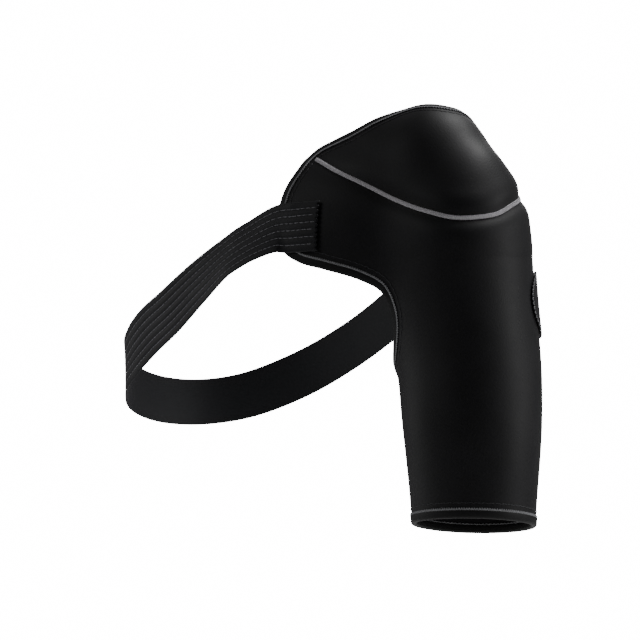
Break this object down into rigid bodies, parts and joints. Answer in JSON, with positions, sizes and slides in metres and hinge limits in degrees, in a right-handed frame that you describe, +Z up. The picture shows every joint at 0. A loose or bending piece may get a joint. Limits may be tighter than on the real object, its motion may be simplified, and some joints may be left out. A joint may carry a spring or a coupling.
{
  "type": "neoprene shoulder brace with a chest strap",
  "caption": "A neoprene sleeve with a front and a back wing, a domed cap over the shoulder joined by a flat seam, taped edges, a closing tab, and an elastic strap loop that runs round the chest.",
  "frame": {"origin": "the shoulder seat: the inner face of the cap at the top of the shoulder, where the brace hangs", "axes": "+Z up; +X outwards from the middle of the body, away from the strap loop; -Y to the front, where the strap's free end is"},
  "size_m": [0.4592, 0.2474, 0.3625],
  "materials": {
    "neoprene": "black knitted jersey over neoprene foam, soft low sheen",
    "edge_tape": "smooth black stretch edge tape",
    "seam_thread": "light grey flat overlock thread",
    "elastic_webbing": "black ribbed elastic webbing with fine pale stitching",
    "hook_tape": "black hook tape"
  },
  "bodies": {
    "root": {"sleeve_panel": "neoprene", "cap_panel": "neoprene", "open_edge_binding": "edge_tape", "hem_binding": "edge_tape", "cap_seam": "seam_thread", "chest_strap": "elastic_webbing", "strap_hook_pad": "hook_tape", "closing_tab": "neoprene"}
  },
  "joints": []
}
